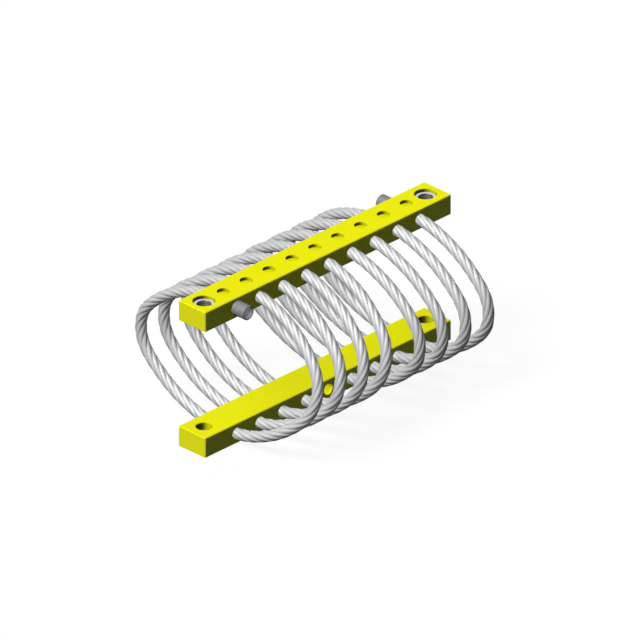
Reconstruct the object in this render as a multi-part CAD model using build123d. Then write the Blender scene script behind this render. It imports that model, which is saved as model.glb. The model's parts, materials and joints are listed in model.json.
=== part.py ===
from build123d import *
from math import cos, pi, radians, sin
import os

# Wire rope isolator: one wire rope laced to and fro through the cross-bores of two flat bars.
# Sizes are in millimetres. X runs along the bars, Y across them and Z upwards. The origin is
# the middle of the lower bar's underside, the face that the isolator stands on.

# Rope
rope_diameter = 6.4
rope_clearance = 0.05  # radial, in the bars' bores and in the end ferrules

# Bars
bar_length = 185.0
bar_width = 20.0
bar_thickness = 12.0
bar_edge_chamfer = 0.4
bar_spacing = 75.4  # between the two rows of rope bores

# Rope bores, in a row along the middle of each bar
bore_count = 9
end_bore_inset = 23.7  # from a bar's end to the axis of its first rope bore
empty_lower_bore = 5  # counted from the -X end; the rope passes it by

# Half-loops of rope beside the bars
loop_reach = 51.0  # from a bar's side face to the rope's axis at the widest point
exit_bend_radius = 21.0
exit_bend_angle = 11.2
flank_angle = 46.5  # the rope's slope where a flank runs into the nose of its half-loop

# Crimp pockets, pressed into the outer faces over the rope
pocket_diameter = 7.0
pocket_web = 0.75  # metal left between a pocket's floor and the rope bore

# Threaded inserts, pressed into the ends of the bars from their outer faces
end_hole_inset = 9.2  # from a bar's end to the insert's axis
insert_diameter = 12.0
insert_length = 5.5
insert_recess = 2.0  # from the bar's outer face down to the insert
insert_clearance = 0.05  # radial, between the ridges
insert_edge_chamfer = 0.3
ridge_count = 28
ridge_bite = 0.1  # how far the ridges stand into the wall of the hole
ridge_height = 0.3
ridge_margin = 0.8  # plain ring above and below the ridges
ridge_share = 0.8  # part of the pitch that a ridge's foot covers
thread_core_diameter = 6.8  # M8 x 1.25
thread_mouth_diameter = 8.0
screw_hole_diameter = 8.7  # on through the bar below the insert
hole_edge_chamfer = 0.3

# Ferrules on the rope's two ends, against the upper bar
ferrule_wall = 0.8
ferrule_length = 8.8
ferrule_edge_chamfer = 0.2  # at the tip, outside and in
rope_end_recess = 2.1  # from a ferrule's tip in to the rope's end

# Places that follow from the sizes
bore_radius = rope_diameter / 2 + rope_clearance
bore_pitch = (bar_length - 2 * end_bore_inset) / (bore_count - 1)
lower_bore_z = bar_thickness / 2
upper_bore_z = lower_bore_z + bar_spacing
side_face = bar_width / 2
outer_face = bar_thickness / 2
pocket_depth = outer_face - bore_radius - pocket_web
end_hole_x = bar_length / 2 - end_hole_inset
insert_seat_depth = insert_recess + insert_length
rope_end = side_face + ferrule_length - rope_end_recess


def bore_x(number):
    """Place along the bar of a rope bore, counted from 1 at the -X end."""
    return (number - (bore_count + 1) / 2) * bore_pitch


def rope_bore():
    """One rope bore straight through a bar, as a body to cut away."""
    return Rot(90, 0, 0) * Cylinder(bore_radius, bar_width)


def crimp_pocket():
    """One flat-bottomed pocket, its mouth at z = 0, as a body to cut away."""
    return Cylinder(pocket_diameter / 2, pocket_depth, align=(Align.CENTER, Align.CENTER, Align.MAX))


def end_hole():
    """One stepped hole through the bar at an insert, its mouth at z = 0, as a body to cut away."""
    wide = insert_diameter / 2
    narrow = screw_hole_diameter / 2
    edge = hole_edge_chamfer
    profile = Polyline(
        (0, 0),
        (wide + edge, 0),
        (wide, -edge),
        (wide, -insert_seat_depth),
        (narrow, -insert_seat_depth),
        (narrow, -bar_thickness + edge),
        (narrow + edge, -bar_thickness),
        (0, -bar_thickness),
        close=True,
    )
    return revolve(make_face(Plane.XZ * profile), Axis.Z)


def bar(crimped_bores):
    """One bar about its row of rope bores, outer face up, crimped over the given bores."""
    body = Box(bar_length, bar_width, bar_thickness)
    body = chamfer(body.edges(), bar_edge_chamfer)
    body -= [Pos(bore_x(number), 0, 0) * rope_bore() for number in range(1, bore_count + 1)]
    body -= [Pos(bore_x(number), 0, outer_face) * crimp_pocket() for number in crimped_bores]
    body -= [Pos(x, 0, outer_face) * end_hole() for x in (-end_hole_x, end_hole_x)]
    return body


def threaded_insert():
    """One ridged ring with its tapped hole, upper face at z = 0."""
    outside = insert_diameter / 2 - insert_clearance
    core = thread_core_diameter / 2
    mouth = thread_mouth_diameter / 2
    lead_in = mouth - core
    edge = insert_edge_chamfer
    profile = Polyline(
        (core, -lead_in),
        (mouth, 0),
        (outside - edge, 0),
        (outside, -edge),
        (outside, edge - insert_length),
        (outside - edge, -insert_length),
        (mouth, -insert_length),
        (core, lead_in - insert_length),
        close=True,
    )
    ring = revolve(make_face(Plane.XZ * profile), Axis.Z)
    crest = insert_diameter / 2 + ridge_bite
    root = crest - ridge_height
    half_foot = ridge_share * pi * root / ridge_count
    outline = Polyline((crest, 0), (root, half_foot), (root, -half_foot), close=True)
    ridge = extrude(make_face(outline), insert_length - 2 * ridge_margin)
    ridge = Pos(0, 0, ridge_margin - insert_length) * ridge
    return ring + [Rot(0, 0, turn * 360 / ridge_count) * ridge for turn in range(ridge_count)]


def end_ferrule():
    """One ferrule along +Y, its foot at y = 0 and its tip past the rope's end."""
    outside = bore_radius + ferrule_wall
    edge = ferrule_edge_chamfer
    profile = Polyline(
        (bore_radius, 0),
        (outside, 0),
        (outside, ferrule_length - edge),
        (outside - edge, ferrule_length),
        (bore_radius + edge, ferrule_length),
        (bore_radius, ferrule_length - edge),
        close=True,
    )
    return revolve(make_face(profile), Axis.Y)


def loop_radii(height):
    """Radii of the flanks and the nose that close a half-loop of this height at its reach."""
    leave, turn = radians(exit_bend_angle), radians(flank_angle)
    reach = loop_reach - exit_bend_radius * sin(leave)
    rise = height / 2 - exit_bend_radius * (1 - cos(leave))
    flank_reach, nose_reach = sin(turn) - sin(leave), 1 - sin(turn)
    flank_rise, nose_rise = cos(leave) - cos(turn), cos(turn)
    share = flank_reach * nose_rise - nose_reach * flank_rise
    flank = (reach * nose_rise - rise * nose_reach) / share
    nose = (rise * flank_reach - reach * flank_rise) / share
    return flank, nose


def half_loop(start, end, outward):
    """Arcs of one half-loop from bore to bore, in the plane of the two bores."""
    across = (end - start).normalized()
    flank, nose = loop_radii((end - start).length)
    bends = [
        (exit_bend_radius, exit_bend_angle),
        (flank, flank_angle - exit_bend_angle),
        (nose, 180 - 2 * flank_angle),
        (flank, flank_angle - exit_bend_angle),
        (exit_bend_radius, exit_bend_angle),
    ]

    def inward(heading):
        """Unit vector from the rope to the centre of its bend."""
        return across * cos(radians(heading)) - outward * sin(radians(heading))

    arcs = []
    point, heading = start, 0
    for radius, turn in bends:
        centre = point + inward(heading) * radius
        middle = centre - inward(heading + turn / 2) * radius
        last = centre - inward(heading + turn) * radius
        arcs.append(ThreePointArc(point, middle, last))
        point, heading = last, heading + turn
    return arcs


def rope_route():
    """The rope's axis, from its front end in the upper bar's first bore to its back end in the last."""
    numbers = range(1, bore_count + 1)
    upper = [Vector(bore_x(number), 0, upper_bore_z) for number in numbers]
    lower = [Vector(bore_x(number), 0, lower_bore_z) for number in numbers if number != empty_lower_bore]
    passes = [place for pair in zip(upper, lower) for place in pair] + [upper[-1]]
    edges = []
    for step, place in enumerate(passes):
        forward = Vector(0, 1 if step % 2 == 0 else -1, 0)
        first, last = step == 0, step == len(passes) - 1
        enter = place - forward * (rope_end if first else side_face)
        leave = place + forward * (rope_end if last else side_face)
        edges.append(Line(enter, leave))
        if not last:
            edges += half_loop(leave, passes[step + 1] + forward * side_face, forward)
    return Wire(edges)


def wire_rope():
    """The whole rope as one plain round bar along its route."""
    route = rope_route()
    section = Plane(origin=route @ 0, z_dir=route % 0) * Circle(rope_diameter / 2)
    return sweep(section, path=route)


def save(shape, node):
    """Write one piece to its own file."""
    export_step(shape, f"parts/{node}.step")


def main():
    """Place every piece in the isolator and write it out."""
    os.makedirs("parts", exist_ok=True)
    upper = Pos(0, 0, upper_bore_z)
    lower = Pos(0, 0, lower_bore_z) * Rot(180, 0, 0)
    every_bore = range(1, bore_count + 1)
    save(upper * bar(every_bore), "upper_bar")
    save(lower * bar([number for number in every_bore if number != empty_lower_bore]), "lower_bar")

    for side, x in (("left", -end_hole_x), ("right", end_hole_x)):
        insert = Pos(x, 0, outer_face - insert_recess) * threaded_insert()
        save(upper * insert, f"upper_insert_{side}")
        save(lower * insert, f"lower_insert_{side}")

    ferrule = Pos(0, side_face, upper_bore_z) * end_ferrule()
    save(Pos(bore_x(bore_count), 0, 0) * ferrule, "back_rope_ferrule")
    save(Pos(bore_x(1), 0, 0) * Rot(0, 0, 180) * ferrule, "front_rope_ferrule")
    save(wire_rope(), "wire_rope")


main()
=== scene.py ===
import json
from math import cos, pi, radians, sin, tan

import bpy
import numpy as np
from bpy.props import FloatProperty, FloatVectorProperty, IntProperty, PointerProperty
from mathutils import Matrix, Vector

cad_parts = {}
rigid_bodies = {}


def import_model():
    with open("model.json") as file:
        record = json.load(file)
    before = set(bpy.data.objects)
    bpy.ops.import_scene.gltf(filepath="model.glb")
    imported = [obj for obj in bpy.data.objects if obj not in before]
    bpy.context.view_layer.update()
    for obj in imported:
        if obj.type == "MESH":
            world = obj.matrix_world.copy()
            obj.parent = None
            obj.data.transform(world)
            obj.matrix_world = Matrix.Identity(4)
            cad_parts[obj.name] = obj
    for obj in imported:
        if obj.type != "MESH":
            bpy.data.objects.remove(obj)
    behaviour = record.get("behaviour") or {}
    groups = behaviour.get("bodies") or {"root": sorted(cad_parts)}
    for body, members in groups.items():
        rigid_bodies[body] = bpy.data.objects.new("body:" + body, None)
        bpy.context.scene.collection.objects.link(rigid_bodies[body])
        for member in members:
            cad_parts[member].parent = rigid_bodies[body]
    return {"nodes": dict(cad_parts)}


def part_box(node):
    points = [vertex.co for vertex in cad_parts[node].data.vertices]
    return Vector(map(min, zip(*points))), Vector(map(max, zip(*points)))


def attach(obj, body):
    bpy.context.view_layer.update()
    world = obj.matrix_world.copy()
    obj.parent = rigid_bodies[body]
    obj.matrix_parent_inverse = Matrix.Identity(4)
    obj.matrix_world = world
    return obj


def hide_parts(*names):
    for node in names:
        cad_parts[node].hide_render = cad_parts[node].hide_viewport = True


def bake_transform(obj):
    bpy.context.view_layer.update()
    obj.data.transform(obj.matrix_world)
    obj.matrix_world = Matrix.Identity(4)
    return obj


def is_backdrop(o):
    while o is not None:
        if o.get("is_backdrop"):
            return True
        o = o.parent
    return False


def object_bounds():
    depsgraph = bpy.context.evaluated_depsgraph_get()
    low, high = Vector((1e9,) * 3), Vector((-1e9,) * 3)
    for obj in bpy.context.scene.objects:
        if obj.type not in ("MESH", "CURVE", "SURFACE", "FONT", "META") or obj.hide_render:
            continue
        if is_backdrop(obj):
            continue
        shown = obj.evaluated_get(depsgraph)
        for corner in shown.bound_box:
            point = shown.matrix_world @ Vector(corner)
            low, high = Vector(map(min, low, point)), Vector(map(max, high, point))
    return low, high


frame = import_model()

# Wire rope isolator: its stranded rope, its tapped inserts, and the finish of its bars and ferrules.
# Lengths are in metres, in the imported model's frame: X along the bars, Y across them, Z upwards.

bl_info = {
    "name": "Wire Rope Isolator",
    "version": (1, 0, 0),
    "blender": (4, 5, 0),
    "location": "3D View > Sidebar > Isolator",
    "description": "Laces the rope, cuts the inserts, finishes the bars and sets the studio",
    "category": "Object",
}

mm = 0.001


def middle(node):
    """Middle of a node's box."""
    low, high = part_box(node)
    return (low + high) / 2


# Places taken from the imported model
rope_axis_upper = middle("upper_bar").z
rope_axis_lower = middle("lower_bar").z
side_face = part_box("upper_bar")[1].y
first_bore = middle("front_rope_ferrule").x
last_bore = middle("back_rope_ferrule").x
ferrule_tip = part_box("back_rope_ferrule")[1].y
loop_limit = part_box("wire_rope")[1].y


class RopeSettings(bpy.types.PropertyGroup):
    """The wire rope and the way it is laced."""

    diameter: FloatProperty(
        name="Diameter", description="Over the crowns of opposite strands",
        default=6.4 * mm, min=mm, unit="LENGTH", subtype="DISTANCE")
    strands: IntProperty(
        name="Strands", description="Strands laid round the core", default=6, min=3)
    strand_radius: FloatProperty(
        name="Strand radius", description="Roundness of a strand's crown in the rope's outline",
        default=1.65 * mm, min=0.1 * mm, unit="LENGTH", subtype="DISTANCE")
    lay_length: FloatProperty(
        name="Lay length", description="Length of rope in which a strand goes round once",
        default=41.6 * mm, min=mm, unit="LENGTH", subtype="DISTANCE")
    wires_around: IntProperty(
        name="Wires around", description="Outer wires met on one way round the rope", default=42, min=6)
    wire_radius: FloatProperty(
        name="Wire radius", description="Radius of a single wire",
        default=0.21 * mm, min=0.01 * mm, unit="LENGTH", subtype="DISTANCE")
    ring_step: FloatProperty(
        name="Ring step", description="Length of rope between two rings of its mesh",
        default=2.0 * mm, min=0.5 * mm, unit="LENGTH", subtype="DISTANCE")
    bore_count: IntProperty(
        name="Bores", description="Rope bores in a bar", default=9, min=2)
    empty_bore: IntProperty(
        name="Empty bore", description="Bore of the lower bar that the rope passes by", default=5, min=1)
    end_recess: FloatProperty(
        name="End recess", description="From a ferrule's tip in to the rope's end",
        default=2.1 * mm, min=0, unit="LENGTH", subtype="DISTANCE")
    steel: FloatVectorProperty(
        name="Steel", description="Colour of the rope's wires",
        default=(0.74, 0.74, 0.75), size=3, min=0, max=1, subtype="COLOR")


class BarSettings(bpy.types.PropertyGroup):
    """The finish of the two bars."""

    yellow: FloatVectorProperty(
        name="Yellow", description="Colour of the bars' coating",
        default=(0.91, 0.89, 0.005), size=3, min=0, max=1, subtype="COLOR")
    roughness: FloatProperty(
        name="Roughness", description="Roughness of the coating", default=0.45, min=0, max=1,
        subtype="FACTOR")
    gloss: FloatProperty(
        name="Gloss", description="How much the coating reflects", default=0.1, min=0, max=1,
        subtype="FACTOR")
    grain: FloatProperty(
        name="Grain", description="Width of the coating's fine grain",
        default=0.9 * mm, min=0.1 * mm, unit="LENGTH", subtype="DISTANCE")
    # painted shade on the walls of holes and pockets that face away from the key light at -X
    hole_painted_shade: FloatProperty(
        name="Hole shade", description="Darker tone of the hole walls that don't face the -X end",
        default=0.14, min=0, max=1, subtype="FACTOR")
    # painted shade on the floors of the pockets
    floor_painted_shade: FloatProperty(
        name="Floor shade", description="Slightly darker tone of the floors of the pockets",
        default=0.9, min=0, max=1, subtype="FACTOR")
    hole_margin: FloatProperty(
        name="Hole margin", description="From a bar's outer faces in to where its holes' walls may lie",
        default=1.5 * mm, min=0.1 * mm, unit="LENGTH", subtype="DISTANCE")


class InsertSettings(bpy.types.PropertyGroup):
    """The threaded inserts."""

    core_diameter: FloatProperty(
        name="Core diameter", description="Across the crests of the thread",
        default=6.8 * mm, min=mm, unit="LENGTH", subtype="DISTANCE")
    thread_diameter: FloatProperty(
        name="Thread diameter", description="Across the roots of the thread",
        default=8.0 * mm, min=mm, unit="LENGTH", subtype="DISTANCE")
    pitch: FloatProperty(
        name="Pitch", description="Rise of the thread in one turn",
        default=1.25 * mm, min=0.1 * mm, unit="LENGTH", subtype="DISTANCE")
    ridges: IntProperty(
        name="Ridges", description="Ridges around the outside", default=28, min=3)
    # painted shade in the inserts' tapped bores: this tone on the crests, darker on the flanks
    bore_painted_shade: FloatProperty(
        name="Bore shade", description="Darker tone of the thread's crests",
        default=0.45, min=0, max=1, subtype="FACTOR")
    roughness: FloatProperty(
        name="Roughness", description="Roughness of the turned steel", default=0.45, min=0, max=1,
        subtype="FACTOR")
    steel: FloatVectorProperty(
        name="Steel", description="Colour of the inserts",
        default=(0.82, 0.82, 0.84), size=3, min=0, max=1, subtype="COLOR")


class FerruleSettings(bpy.types.PropertyGroup):
    """The finish of the two ferrules."""

    steel: FloatVectorProperty(
        name="Steel", description="Colour of the ferrules",
        default=(0.28, 0.28, 0.3), size=3, min=0, max=1, subtype="COLOR")
    roughness: FloatProperty(
        name="Roughness", description="Roughness of the turned steel", default=0.6, min=0, max=1,
        subtype="FACTOR")


class StudioSettings(bpy.types.PropertyGroup):
    """Camera, light and floor."""

    picture_width: FloatProperty(
        name="Picture width", description="Length that the picture's width shows",
        default=337.9 * mm, min=mm, unit="LENGTH", subtype="DISTANCE")
    camera_azimuth: FloatProperty(
        name="Camera azimuth", description="Turn of the camera about Z, from the front",
        default=radians(-45.4), subtype="ANGLE", unit="ROTATION")
    camera_elevation: FloatProperty(
        name="Camera elevation", description="Camera's height above the horizon",
        default=radians(28.4), subtype="ANGLE", unit="ROTATION")
    picture_offset: FloatProperty(
        name="Picture offset", description="Sideways from the object's middle to the picture's",
        default=2.75 * mm, unit="LENGTH", subtype="DISTANCE")
    key_direction: FloatVectorProperty(
        name="Key direction", description="From the object towards the key light",
        default=(-0.6, 0.05, 0.8), size=3, subtype="DIRECTION")
    key_softness: FloatProperty(
        name="Key softness", description="Angle that the key light fills",
        default=radians(28), min=0, subtype="ANGLE", unit="ROTATION")
    key_strength: FloatProperty(
        name="Key strength", description="Strength of the key light", default=0.8, min=0)
    fill_softness: FloatProperty(
        name="Fill softness", description="Angle that the key's shadowless part fills",
        default=radians(6), min=0, subtype="ANGLE", unit="ROTATION")
    fill_strength: FloatProperty(
        name="Fill strength", description="Strength of the key's shadowless part", default=2.94, min=0)
    side_direction: FloatVectorProperty(
        name="Side direction", description="From the object towards the weak light in front of it",
        default=(-0.3, -0.9, 0.1), size=3, subtype="DIRECTION")
    side_strength: FloatProperty(
        name="Side strength", description="Strength of the weak light in front", default=0.13, min=0)
    side_colour: FloatVectorProperty(
        name="Side colour", description="Colour of the weak light in front of the object",
        default=(0.8, 1.0, 0.95), size=3, min=0, max=1, subtype="COLOR")
    side_softness: FloatProperty(
        name="Side softness", description="Angle that the lights in front and behind fill",
        default=radians(24), min=0, subtype="ANGLE", unit="ROTATION")
    back_direction: FloatVectorProperty(
        name="Back direction", description="From the object towards the light on its far side",
        default=(0.76, 0.64, 0.06), size=3, subtype="DIRECTION")
    back_strength: FloatProperty(
        name="Back strength", description="Strength of the light on the far side", default=1.6, min=0)
    sky_strength: FloatProperty(
        name="Sky strength", description="Dim light from all around", default=0.02, min=0)
    sky_colour: FloatVectorProperty(
        name="Sky colour", description="Colour of the dim light from all around",
        default=(0.9, 1.0, 0.97), size=3, min=0, max=1, subtype="COLOR")
    backdrop: FloatProperty(
        name="Backdrop", description="Brightness of the backdrop as seen", default=0.98, min=0)
    floor_glow: FloatProperty(
        name="Floor glow", description="Light that the floor adds to what it reflects, to stay pale",
        default=0.56, min=0)
    floor_shine: FloatProperty(
        name="Floor shine", description="Brightness of the floor as glossy surfaces reflect it",
        default=0.04, min=0)


class Shader:
    """An output of a material's nodes. Arithmetic on it adds Math nodes."""

    def __init__(self, tree, output=None):
        self.tree = tree
        self.output = output

    def node(self, kind, settings=None, inputs=None, output=0):
        """Add a node: its settings first, then the values or links of its sockets."""
        made = self.tree.nodes.new("ShaderNode" + kind)
        for name, value in (settings or {}).items():
            setattr(made, name, value)
        for name, value in (inputs or {}).items():
            if isinstance(value, Shader):
                self.tree.links.new(value.output, made.inputs[name])
            else:
                made.inputs[name].default_value = value
        return Shader(self.tree, made.outputs[output])

    def maths(self, operation, *values):
        """Add a Math node of this operation."""
        return self.node("Math", {"operation": operation}, dict(enumerate(values)))

    def __add__(self, other):
        return self.maths("ADD", self, other)

    def __sub__(self, other):
        return self.maths("SUBTRACT", self, other)

    def __mul__(self, other):
        return self.maths("MULTIPLY", self, other)

    def __rsub__(self, other):
        return self.maths("SUBTRACT", other, self)

    __radd__ = __add__
    __rmul__ = __mul__


def start_material(name):
    """A new material with one surface shader, and its nodes ready for shader maths."""
    material = bpy.data.materials.new(name)
    material.use_nodes = True
    surface = material.node_tree.nodes["Principled BSDF"]
    return material, surface, Shader(material.node_tree)


def feed(surface, socket, value):
    """Link a varying value to a socket of the surface shader."""
    value.tree.links.new(value.output, surface.inputs[socket])


def spread(value, low, high):
    """A value from 0 to 1 brought to the range from low to high."""
    return value * (high - low) + low


def shaded(shader, colour, shade):
    """A colour darkened by a varying shade, where 1 leaves it as it is."""
    grey = shader.node("CombineColor", None, {"Red": shade, "Green": shade, "Blue": shade})
    inputs = {"Factor": 1.0, "A": (*colour, 1), "B": grey}
    return shader.node("Mix", {"data_type": "RGBA", "blend_type": "MULTIPLY"}, inputs, 2)


def noise(shader, place, width, detail=2.0):
    """Smooth noise from 0 to 1 with spots of about this width."""
    return shader.node("TexNoise", None, {"Vector": place, "Scale": 1 / width, "Detail": detail})


def bump(shader, height, depth, strength=1.0):
    """A normal raised by a varying height."""
    return shader.node("Bump", None, {"Height": height, "Distance": depth, "Strength": strength})


def painted_shade_in_holes(shader, place, settings):
    """Painted shade on a bar's coating, which follows the picture's shading: 1 on the outer faces, a
    little less on the floors of the pockets, and least on the walls of the holes that don't face the -X
    end."""
    pale, dark = -1.0, -0.6  # X of the normals of the lightest and the darkest walls
    floor_margin = 0.5 * mm  # from a bar's outer face in to the highest place of a pocket's floor
    normal = shader.node("TexCoord", None, None, "Normal")
    level = shader.node("SeparateXYZ", None, {"Vector": normal}, "Z")
    upright = 1 - level.maths("ABSOLUTE", level)
    facing = shader.node("SeparateXYZ", None, {"Vector": normal}, "X")
    turned_away = shader.node("MapRange", None, {"Value": facing, "From Min": pale, "From Max": dark})

    low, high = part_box("upper_bar")
    along = shader.node("SeparateXYZ", None, {"Vector": place}, "X")
    across = shader.node("SeparateXYZ", None, {"Vector": place}, "Y")
    far_along = along.maths("ABSOLUTE", along)
    far_across = across.maths("ABSOLUTE", across)
    inside = (along.maths("LESS_THAN", far_along, high.x - settings.hole_margin)
              * across.maths("LESS_THAN", far_across, side_face - settings.hole_margin))

    middle_height = (rope_axis_upper + rope_axis_lower) / 2
    height = shader.node("SeparateXYZ", None, {"Vector": place}, "Z") - middle_height
    out = height.maths("ABSOLUTE", height) - (rope_axis_upper - rope_axis_lower) / 2
    sunk = out.maths("LESS_THAN", out.maths("ABSOLUTE", out), (high.z - low.z) / 2 - floor_margin)
    # painted shade: darkest on the hole walls that face away from the key light at -X, a little darker
    # on the pockets' floors
    walls = spread(upright * inside * turned_away, 1.0, settings.hole_painted_shade)
    return walls * spread(sunk * inside, 1.0, settings.floor_painted_shade)


def yellow_coating(settings):
    """Satin yellow coating: slightly uneven in tone and gloss, with a fine grain, and painted shade in
    its holes and pockets.
    """
    cloud_width = 14 * mm
    grain_depth = 0.03 * mm
    material, surface, shader = start_material("yellow_coating")
    place = shader.node("TexCoord", None, None, "Object")
    cloud = noise(shader, place, cloud_width)
    grain = noise(shader, place, settings.grain, 3.0)
    tone = spread(cloud, 0.93, 1.0) * spread(grain, 0.95, 1.02)
    # painted shade in the holes and pockets, on top of the coating's uneven tone
    tone *= painted_shade_in_holes(shader, place, settings)
    feed(surface, "Base Color", shaded(shader, settings.yellow, tone))
    feed(surface, "Roughness", spread(grain, -0.08, 0.08) + settings.roughness)
    feed(surface, "Normal", bump(shader, grain, grain_depth))
    surface.inputs["Specular IOR Level"].default_value = settings.gloss
    return material


def rope_steel(settings):
    """Bright rope: round wires along the strands, with painted shade down in the grooves between them
    and between the wires.
    """
    groove_start = 0.7  # where a groove starts, from a strand's crown at 0 to the groove's middle at 1
    spots_per_lay = 8
    wire_depth = 0.07 * mm
    wire_relief = 0.4
    material, surface, shader = start_material("rope_steel")
    lay = shader.node("UVMap", {"uv_map": "lay"})
    around = shader.node("SeparateXYZ", None, {"Vector": lay}, "X")
    along = shader.node("SeparateXYZ", None, {"Vector": lay}, "Y")
    wire = (around + along) * settings.wires_around
    across_wire = wire.maths("FRACT", wire) * 2 - 1
    wire_height = 1 - across_wire * across_wire
    strand = around * settings.strands
    across_strand = strand.maths("ABSOLUTE", strand.maths("FRACT", strand) * 2 - 1)
    groove = shader.node("MapRange", {"interpolation_type": "SMOOTHSTEP"},
                         {"Value": across_strand, "From Min": groove_start, "From Max": 1.0})
    spot = shader.node("CombineXYZ", None, {"X": wire, "Y": along * spots_per_lay})
    tone = noise(shader, spot, 1.0)
    # painted shade: darker down in the grooves between strands and towards each wire's edges; the noise
    # tone varies at random
    shade = spread(tone, 0.94, 1.03) * spread(groove, 1.0, 0.8) * spread(wire_height, 0.9, 1.0)
    feed(surface, "Base Color", shaded(shader, settings.steel, shade))
    feed(surface, "Roughness", spread(tone, 0.46, 0.58) + groove * 0.1)
    feed(surface, "Normal", bump(shader, wire_height, wire_depth, wire_relief))
    surface.inputs["Metallic"].default_value = 0.2
    return material


def cut_steel(settings):
    """The rope's sawn wire ends."""
    saw_mark_width = 0.15 * mm
    material, surface, shader = start_material("cut_steel")
    place = shader.node("TexCoord", None, None, "Object")
    marks = noise(shader, place, saw_mark_width)
    feed(surface, "Base Color", shaded(shader, settings.steel, spread(marks, 0.7, 1.0)))
    feed(surface, "Roughness", spread(marks, 0.3, 0.5))
    surface.inputs["Metallic"].default_value = 0.5
    return material


def turned_steel(name, colour, roughness, axis, bore=0.0, bore_painted_shade=1.0):
    """Turned steel: fine grooves round an axis, which is X, Y or Z. Where it has a tapped bore round
    its own Z axis, painted shade darkens the steel in there, most on the thread's flanks, which
    follows the picture's shading."""
    groove_width = 0.25 * mm
    groove_depth = 0.02 * mm
    cloud_width = 2.5 * mm
    material, surface, shader = start_material(name)
    place = shader.node("TexCoord", None, None, "Object")
    along = shader.node("SeparateXYZ", None, {"Vector": place}, axis)
    ring = shader.node("TexNoise", {"noise_dimensions": "1D"},
                       {"W": along, "Scale": 1 / groove_width, "Detail": 2.0})
    cloud = noise(shader, place, cloud_width)
    tone = spread(ring, 0.82, 1.06) * spread(cloud, 0.9, 1.06)
    if bore:
        from_axis = shader.node("VectorMath", {"operation": "MULTIPLY"}, {0: place, 1: (1, 1, 0)})
        distance = shader.node("VectorMath", {"operation": "LENGTH"}, {0: from_axis}, "Value")
        normal = shader.node("TexCoord", None, None, "Normal")
        level = shader.node("SeparateXYZ", None, {"Vector": normal}, "Z")
        crests = 1 - level.maths("ABSOLUTE", level)
        # painted shade in the tapped bore: darkest where the surface faces up or down, as the thread's
        # flanks nearly do
        tone *= spread(distance.maths("LESS_THAN", distance, bore), 1.0, crests * bore_painted_shade)
    feed(surface, "Base Color", shaded(shader, colour, tone))
    feed(surface, "Roughness", spread(ring, -0.08, 0.08) + roughness)
    feed(surface, "Normal", bump(shader, ring, groove_depth))
    surface.inputs["Metallic"].default_value = 0.15
    return material


def new_piece(name, points, faces, materials):
    """A smooth-shaded mesh object of these points and faces."""
    mesh = bpy.data.meshes.new(name)
    mesh.from_pydata(points, [], faces)
    mesh.shade_smooth()
    for material in materials:
        mesh.materials.append(material)
    piece = bpy.data.objects.new(name, mesh)
    bpy.context.scene.collection.objects.link(piece)
    return piece


# The route's points in one half of a side loop, listed along its curve: each one's
# distance out from the bar's side face, and up or down from the bore towards the other bore
flank_points = ((2.8 * mm, 0.0), (14.4 * mm, 2.9 * mm), (29.5 * mm, 9.7 * mm), (45.1 * mm, 22.1 * mm))
nose_half_gap = 6.0 * mm  # from the loop's middle to the points at its nose
bore_point_inset = 1.0 * mm  # of the points in a bore, from the bar's side face
points_per_strand = 10  # in a ring of the rope's mesh


def side_loop(start, end, outward, reach):
    """Route points of one side loop, from the bore at start to the bore at end."""
    across = end - start
    toward = across.normalized()
    steps = [*flank_points, (reach, across.length / 2 - nose_half_gap)]
    going = [start + outward * out + toward * rise for out, rise in steps]
    coming = [end + outward * out - toward * rise for out, rise in reversed(steps)]
    return going + coming


def lacing(settings):
    """Points of the rope's route, to and fro through the bores of both bars."""
    numbers = range(1, settings.bore_count + 1)
    pitch = (last_bore - first_bore) / (settings.bore_count - 1)
    places = {number: first_bore + (number - 1) * pitch for number in numbers}
    upper = [Vector((places[number], 0, rope_axis_upper)) for number in numbers]
    lower = [Vector((places[number], 0, rope_axis_lower))
             for number in numbers if number != settings.empty_bore]
    passes = [place for pair in zip(upper, lower) for place in pair] + [upper[-1]]
    reach = loop_limit - settings.diameter / 2 - side_face
    rope_end = ferrule_tip - settings.end_recess
    points = []
    for step, place in enumerate(passes):
        forward = Vector((0, 1 if step % 2 == 0 else -1, 0))
        first, last = step == 0, step == len(passes) - 1
        points.append(place - forward * (rope_end if first else side_face - bore_point_inset))
        points.append(place + forward * (rope_end if last else side_face - bore_point_inset))
        if not last:
            face = forward * side_face
            points += side_loop(place + face, passes[step + 1] + face, forward, reach)
    return points


def smooth_route(points, step):
    """Evenly spaced places along the smooth curve of the route, and how far along each one is."""
    curve = bpy.data.curves.new("rope_route", "CURVE")
    curve.dimensions = "3D"
    curve.resolution_u = 24
    spline = curve.splines.new("NURBS")
    spline.points.add(len(points) - 1)
    for point, place in zip(spline.points, points):
        point.co = (*place, 1)
    spline.order_u = 3
    spline.use_endpoint_u = True
    holder = bpy.data.objects.new("rope_route", curve)
    line = bpy.data.meshes.new_from_object(holder)
    fine = np.array([vertex.co for vertex in line.vertices])
    bpy.data.objects.remove(holder)
    bpy.data.curves.remove(curve)
    bpy.data.meshes.remove(line)
    lengths = np.linalg.norm(np.diff(fine, axis=0), axis=1)
    reached = np.concatenate([[0], np.cumsum(lengths)])
    distances = np.linspace(0, reached[-1], round(reached[-1] / step) + 1)
    places = np.stack([np.interp(distances, reached, fine[:, axis]) for axis in range(3)], axis=1)
    return places, distances


def untwisted_frames(places):
    """At each place the route's direction and two normals that turn no more than the route does."""
    along = np.gradient(places, axis=0)
    along /= np.linalg.norm(along, axis=1)[:, None]
    side = np.zeros_like(along)
    normal = np.array([0.0, 0.0, 1.0])
    for number, direction in enumerate(along):
        normal = normal - direction * (normal @ direction)
        normal /= np.linalg.norm(normal)
        side[number] = normal
    return along, side, np.cross(along, side)


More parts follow.
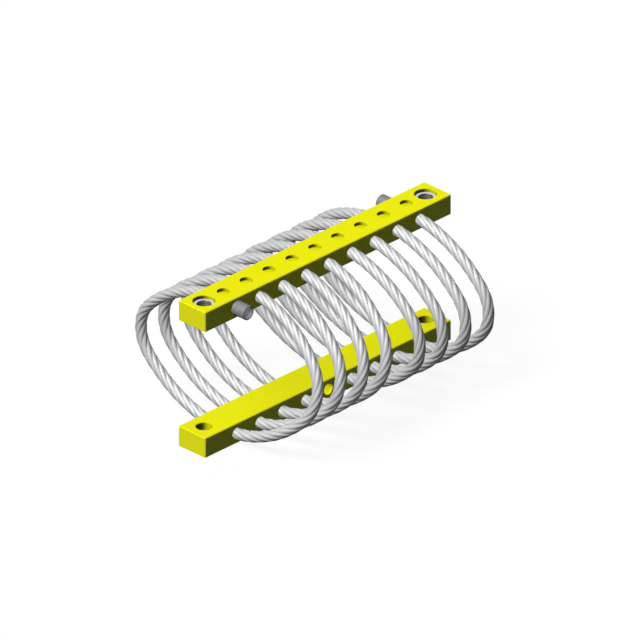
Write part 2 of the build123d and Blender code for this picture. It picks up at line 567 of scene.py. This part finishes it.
def rope_outline(settings, count):
    """Radii of a ring of points round the rope: this many in each strand, from groove to groove."""
    radius = settings.strand_radius
    centre = settings.diameter / 2 - radius
    half = pi / settings.strands
    angles = (np.arange(count) / count * 2 - 1) * half
    lobe = centre * np.cos(angles) + np.sqrt(radius**2 - (centre * np.sin(angles))**2)
    return np.tile(lobe, settings.strands)


def wire_end_places(settings):
    """Where the wires of all strands show in the cut end, across the rope's axis."""
    wire = settings.wire_radius
    rings = [(0, 1), (2 * wire, 6), (4 * wire, 12)]
    strand_axis = settings.diameter / 2 - 5 * wire
    strands = [(0.0, 0.0)]
    for turn in range(settings.strands):
        angle = 2 * pi * turn / settings.strands
        strands.append((strand_axis * cos(angle), strand_axis * sin(angle)))
    return [(x + radius * cos(2 * pi * number / count), y + radius * sin(2 * pi * number / count))
            for x, y in strands for radius, count in rings for number in range(count)]


def stranded_rope(settings):
    """The rope along its whole route, with strands that wind round it and cut wires at its ends."""
    places, distances = smooth_route(lacing(settings), settings.ring_step)
    along, side, third = untwisted_frames(places)
    outline = rope_outline(settings, points_per_strand)
    ring = len(outline)
    # the points of a ring, which turn with the strands' lay along the rope
    turns = np.arange(ring) / ring + (distances / settings.lay_length)[:, None]
    angle = 2 * pi * turns
    offset = (np.cos(angle)[..., None] * side[:, None] + np.sin(angle)[..., None] * third[:, None])
    points = [tuple(point) for point in (places[:, None] + offset * outline[:, None]).reshape(-1, 3)]

    faces = []
    lay = []
    last_ring = len(places) - 1
    for number in range(last_ring):
        low, high = distances[number] / settings.lay_length, distances[number + 1] / settings.lay_length
        for spot in range(ring):
            after = (spot + 1) % ring
            faces.append((number * ring + spot, number * ring + after,
                          (number + 1) * ring + after, (number + 1) * ring + spot))
            left, right = spot / ring, (spot + 1) / ring
            lay += [(left, low), (right, low), (right, high), (left, high)]

    side_faces = len(faces)
    faces.append(tuple(reversed(range(ring))))
    faces.append(tuple(range(last_ring * ring, (last_ring + 1) * ring)))
    for number, outward in ((0, -1), (last_ring, 1)):
        across = (side[number], third[number] * outward)
        for x, y in wire_end_places(settings):
            centre = places[number] + across[0] * x + across[1] * y
            add_wire_end(points, faces, centre, across, along[number] * outward, settings.wire_radius)
    piece = new_piece("laced_rope", points, faces, [rope_steel(settings), cut_steel(settings)])
    for face in piece.data.polygons[side_faces:]:
        face.material_index = 1
    layer = piece.data.uv_layers.new(name="lay")
    corners = np.zeros((len(piece.data.loops), 2), np.float32)
    corners[:len(lay)] = lay
    layer.uv.foreach_set("vector", corners.ravel())
    return piece


wire_end_rise = 0.14 * mm  # of a wire's domed end over the rope's cut face


def add_wire_end(points, faces, centre, across, outward, radius):
    """Add the domed end of one wire to a mesh's points and faces."""
    corners = 8
    first = len(points)
    # share of the wire's radius, and height over the rope's cut face, of the dome's two rings
    for share, rise in ((0.94, -0.02 * mm), (0.7, 0.1 * mm)):
        for corner in range(corners):
            turn = 2 * pi * corner / corners
            spot = across[0] * cos(turn) + across[1] * sin(turn)
            points.append(tuple(centre + spot * radius * share + outward * rise))
    points.append(tuple(centre + outward * wire_end_rise))
    for corner in range(corners):
        after = (corner + 1) % corners
        faces.append((first + corner, first + after, first + corners + after, first + corners + corner))
        faces.append((first + corners + corner, first + corners + after, first + 2 * corners))


ridge_rise = 0.15 * mm  # of an insert's ridges over its plain outside
sharp_edge = radians(25)  # least angle at which an insert's edges stay sharp
bore_painted_shade_margin = 0.02 * mm  # past the thread's roots, of the painted shade in an insert's bore


def tapped_ring(settings, outside, length):
    """Points and faces of one insert about its own axis, upper face at z = 0."""
    core, mouth = settings.core_diameter / 2, settings.thread_diameter / 2
    edge = 0.3 * mm
    ridge_flank = 0.375 * mm  # fall of a ridge's flanks from its crest to midway to the next one
    ridge_margin = 0.8 * mm  # plain ring above and below the ridges
    ridge_step = 0.02 * mm  # in which a ridge ends
    columns = settings.ridges * 4
    rows = 56
    points, faces = [], []

    def bore_radius(turn, depth):
        """Radius of the tapped hole at a turn round it, as deep as this below its upper face."""
        rise = ((depth / settings.pitch + turn) % 1 - 0.5) * settings.pitch
        thread = mouth - max(0, abs(rise) - settings.pitch / 16) / tan(radians(30))
        lead_in = mouth - min(depth, length - depth)
        return max(min(thread, mouth), core, lead_in)

    def ridge_radius(turn):
        """Radius of the outside at a turn round it, over the ridges."""
        across = abs((turn * settings.ridges + 0.5) % 1 - 0.5) * 2
        return max(outside, outside + ridge_rise - across * ridge_flank)

    profile = []
    for row in range(rows + 1):
        depth = length * row / rows
        profile.append([(bore_radius(column / columns, depth), -depth) for column in range(columns)])
    ridge_start = ridge_margin - ridge_step
    wall = [(outside - edge, length), (outside, length - edge), (outside, length - ridge_start)]
    profile += [[(radius, -depth)] * columns for radius, depth in wall]
    for depth in (length - ridge_margin, ridge_margin):
        profile.append([(ridge_radius(column / columns), -depth) for column in range(columns)])
    wall = [(outside, ridge_start), (outside, edge), (outside - edge, 0)]
    profile += [[(radius, -depth)] * columns for radius, depth in wall]

    for ring in profile:
        for column, (radius, height) in enumerate(ring):
            turn = 2 * pi * column / columns
            points.append((radius * cos(turn), radius * sin(turn), height))
    for row in range(len(profile)):
        below = (row + 1) % len(profile)
        for column in range(columns):
            after = (column + 1) % columns
            faces.append((row * columns + column, row * columns + after,
                          below * columns + after, below * columns + column))
    return points, faces


def dress(node, material):
    """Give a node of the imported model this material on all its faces."""
    for slot in node.material_slots:
        slot.material = material


class ISOLATOR_OT_rope(bpy.types.Operator):
    """Lace the stranded rope through both bars"""

    bl_idname = "isolator.rope"
    bl_label = "Lace the Rope"

    def execute(self, context):
        settings = context.scene.isolator_rope
        piece = stranded_rope(settings)
        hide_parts("wire_rope")
        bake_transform(piece)
        return {"FINISHED"}


class ISOLATOR_OT_bars(bpy.types.Operator):
    """Give both bars their yellow coating"""

    bl_idname = "isolator.bars"
    bl_label = "Finish the Bars"

    def execute(self, context):
        coating = yellow_coating(context.scene.isolator_bars)
        for node in ("upper_bar", "lower_bar"):
            dress(frame["nodes"][node], coating)
        return {"FINISHED"}


class ISOLATOR_OT_inserts(bpy.types.Operator):
    """Cut the four threaded inserts"""

    bl_idname = "isolator.inserts"
    bl_label = "Cut the Inserts"

    def execute(self, context):
        settings = context.scene.isolator_inserts
        bore = settings.thread_diameter / 2 + bore_painted_shade_margin
        steel = turned_steel("insert_steel", settings.steel, settings.roughness, "Z",
                             bore, settings.bore_painted_shade)
        for body in ("upper", "lower"):
            for side in ("left", "right"):
                self.place_insert(settings, steel, body, side)
        return {"FINISHED"}

    def place_insert(self, settings, steel, body, side):
        """Put one insert where its node is, its upper face towards the bar's outer face."""
        node = f"{body}_insert_{side}"
        low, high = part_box(node)
        outside = (high.x - low.x) / 2 - ridge_rise
        points, faces = tapped_ring(settings, outside, high.z - low.z)
        piece = new_piece(f"{body}_tapped_insert_{side}", points, faces, [steel])
        piece.data.set_sharp_from_angle(angle=sharp_edge)
        piece.location = ((low.x + high.x) / 2, (low.y + high.y) / 2, high.z)
        if body == "lower":
            piece.location.z = low.z
            piece.rotation_euler.x = pi
        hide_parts(node)
        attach(piece, body)


class ISOLATOR_OT_ferrules(bpy.types.Operator):
    """Give the ferrules on the rope's ends their turned steel"""

    bl_idname = "isolator.ferrules"
    bl_label = "Finish the Ferrules"

    def execute(self, context):
        settings = context.scene.isolator_ferrules
        steel = turned_steel("ferrule_steel", settings.steel, settings.roughness, "Y")
        for node in ("front_rope_ferrule", "back_rope_ferrule"):
            dress(frame["nodes"][node], steel)
        return {"FINISHED"}


class ISOLATOR_OT_studio(bpy.types.Operator):
    """Set up the floor, the light and the camera"""

    bl_idname = "isolator.studio"
    bl_label = "Set Up the Studio"

    def execute(self, context):
        scene = context.scene
        settings = scene.isolator_studio
        scene.view_settings.view_transform = "Standard"
        self.lay_floor(settings)
        self.light_world(scene, settings)
        self.hang_lights(scene, settings)
        # the pieces and the floor throw no light on each other, as in the picture
        for piece in scene.objects:
            if piece.type == "MESH":
                piece.visible_diffuse = False
        self.place_camera(scene, settings)
        return {"FINISHED"}

    def hang_lights(self, scene, settings):
        """The key light and its shadowless part, and the weaker lights in front and behind."""
        key = settings.key_direction
        self.hang_light(scene, "key_light", key, settings.key_strength, settings.key_softness)
        fill = self.hang_light(scene, "fill_light", key, settings.fill_strength, settings.fill_softness)
        side = self.hang_light(scene, "side_light", settings.side_direction, settings.side_strength,
                               settings.side_softness)
        back = self.hang_light(scene, "back_light", settings.back_direction, settings.back_strength,
                               settings.side_softness)
        fill.data.use_shadow = False
        side.data.use_shadow = False
        side.data.color = settings.side_colour
        side.visible_glossy = False
        back.visible_glossy = False

    def lay_floor(self, settings):
        """A plain pale floor just under the lower bar."""
        grey = (0.45, 0.45, 0.45)
        white = (1, 1, 1, 1)
        cloud_width = 0.3
        half = 3.0
        gap = 0.2 * mm
        material, surface, shader = start_material("pale_floor")
        place = shader.node("TexCoord", None, None, "Object")
        tone = spread(noise(shader, place, cloud_width), 0.98, 1.0)
        feed(surface, "Base Color", shaded(shader, grey, tone))
        surface.inputs["Roughness"].default_value = 0.9
        surface.inputs["Emission Color"].default_value = white
        surface.inputs["Emission Strength"].default_value = settings.floor_glow
        seen = Shader(shader.tree, surface.outputs[0])
        shine = shader.node("Emission", None, {"Color": white, "Strength": settings.floor_shine})
        mirrored = shader.node("LightPath", None, None, "Is Glossy Ray")
        both = shader.node("MixShader", None, {0: mirrored, 1: seen, 2: shine})
        output = material.node_tree.nodes["Material Output"]
        material.node_tree.links.new(both.output, output.inputs["Surface"])
        points = [(-half, -half, 0), (half, -half, 0), (half, half, 0), (-half, half, 0)]
        floor = new_piece("floor", points, [(0, 1, 2, 3)], [material])
        floor.location.z = -gap
        floor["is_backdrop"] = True

    def light_world(self, scene, settings):
        """Dim light from all around, in front of a pale backdrop."""
        world = bpy.data.worlds.new("studio")
        world.use_nodes = True
        world.node_tree.nodes.clear()
        shader = Shader(world.node_tree)
        colour = (*settings.sky_colour, 1)
        dim = shader.node("Background", None, {"Color": colour, "Strength": settings.sky_strength})
        pale = shader.node("Background", None, {"Color": (1, 1, 1, 1), "Strength": settings.backdrop})
        seen = shader.node("LightPath", None, None, "Is Camera Ray")
        both = shader.node("MixShader", None, {0: seen, 1: dim, 2: pale})
        output = world.node_tree.nodes.new("ShaderNodeOutputWorld")
        world.node_tree.links.new(both.output, output.inputs["Surface"])
        scene.world = world

    def hang_light(self, scene, name, direction, strength, softness):
        """One broad distant light."""
        light = bpy.data.lights.new(name, "SUN")
        light.energy = strength
        light.angle = softness
        lamp = bpy.data.objects.new(name, light)
        lamp.rotation_mode = "QUATERNION"
        lamp.rotation_quaternion = Vector(direction).to_track_quat("Z", "Y")
        scene.collection.objects.link(lamp)
        return lamp

    def place_camera(self, scene, settings):
        """A camera without perspective, looking at the object's middle."""
        turn, rise = settings.camera_azimuth, settings.camera_elevation
        back = Vector((sin(turn) * cos(rise), -cos(turn) * cos(rise), sin(rise)))  # one metre long
        right = Vector((cos(turn), sin(turn), 0))
        low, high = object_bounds()
        data = bpy.data.cameras.new("camera")
        data.type = "ORTHO"
        data.ortho_scale = settings.picture_width
        camera = bpy.data.objects.new("camera", data)
        camera.location = (low + high) / 2 + right * settings.picture_offset + back
        camera.rotation_mode = "QUATERNION"
        camera.rotation_quaternion = (-back).to_track_quat("-Z", "Y")
        scene.collection.objects.link(camera)
        scene.camera = camera


class ISOLATOR_PT_panel(bpy.types.Panel):
    """The isolator's steps, one button each"""

    bl_idname = "ISOLATOR_PT_panel"
    bl_label = "Wire Rope Isolator"
    bl_space_type = "VIEW_3D"
    bl_region_type = "UI"
    bl_category = "Isolator"

    def draw(self, context):
        for operator in operators:
            self.layout.operator(operator.bl_idname)


setting_groups = {
    "isolator_rope": RopeSettings,
    "isolator_bars": BarSettings,
    "isolator_inserts": InsertSettings,
    "isolator_ferrules": FerruleSettings,
    "isolator_studio": StudioSettings,
}
operators = (
    ISOLATOR_OT_rope,
    ISOLATOR_OT_bars,
    ISOLATOR_OT_inserts,
    ISOLATOR_OT_ferrules,
    ISOLATOR_OT_studio,
)
classes = (*setting_groups.values(), *operators, ISOLATOR_PT_panel)


def register():
    for each in classes:
        bpy.utils.register_class(each)
    for name, group in setting_groups.items():
        setattr(bpy.types.Scene, name, PointerProperty(type=group))


def unregister():
    for name in setting_groups:
        delattr(bpy.types.Scene, name)
    for each in reversed(classes):
        bpy.utils.unregister_class(each)


def main():
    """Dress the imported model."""
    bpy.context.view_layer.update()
    register()
    bpy.ops.isolator.rope()
    bpy.ops.isolator.bars()
    bpy.ops.isolator.inserts()
    bpy.ops.isolator.ferrules()
    bpy.ops.isolator.studio()


if __name__ == "__main__":
    main()
